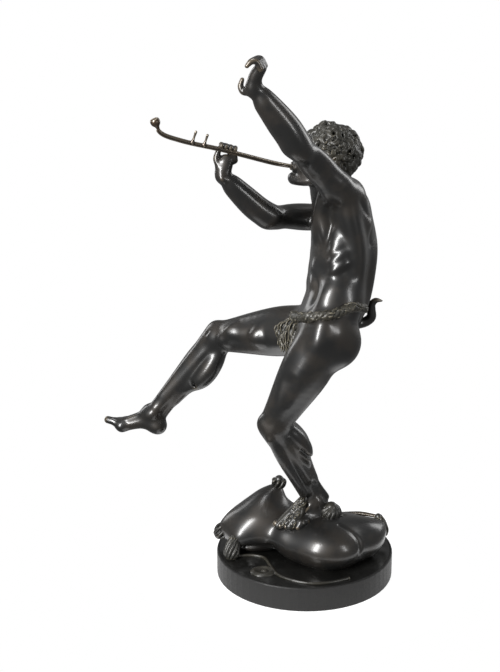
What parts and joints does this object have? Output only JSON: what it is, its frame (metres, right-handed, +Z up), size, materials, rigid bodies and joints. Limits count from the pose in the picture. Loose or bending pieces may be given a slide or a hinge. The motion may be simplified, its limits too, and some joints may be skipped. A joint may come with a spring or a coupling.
{
  "type": "statuette of a dancing faun",
  "caption": "Dark bronze statuette of a faun dancing on one foot on wineskins while playing a long double flute, on a round plinth.",
  "frame": {"origin": "centre of the plinth's underside", "axes": "+Z up; +X to the figure's back, the figure faces -X; -Y is the figure's left side, from which the picture was taken"},
  "size_m": [0.3138, 0.2016, 0.5804],
  "materials": {
    "dark_bronze": "near-black polished bronze patina, olive brown where it is chased",
    "flute_bronze": "dark brown bronze, worn brighter along its upper edges",
    "plinth_bronze": "satin dark grey turned metal with a thin bright rim line"
  },
  "bodies": {
    "root": {"faun": "dark_bronze", "double_flute": "flute_bronze", "wineskins": "dark_bronze", "plinth": "plinth_bronze"}
  },
  "joints": []
}
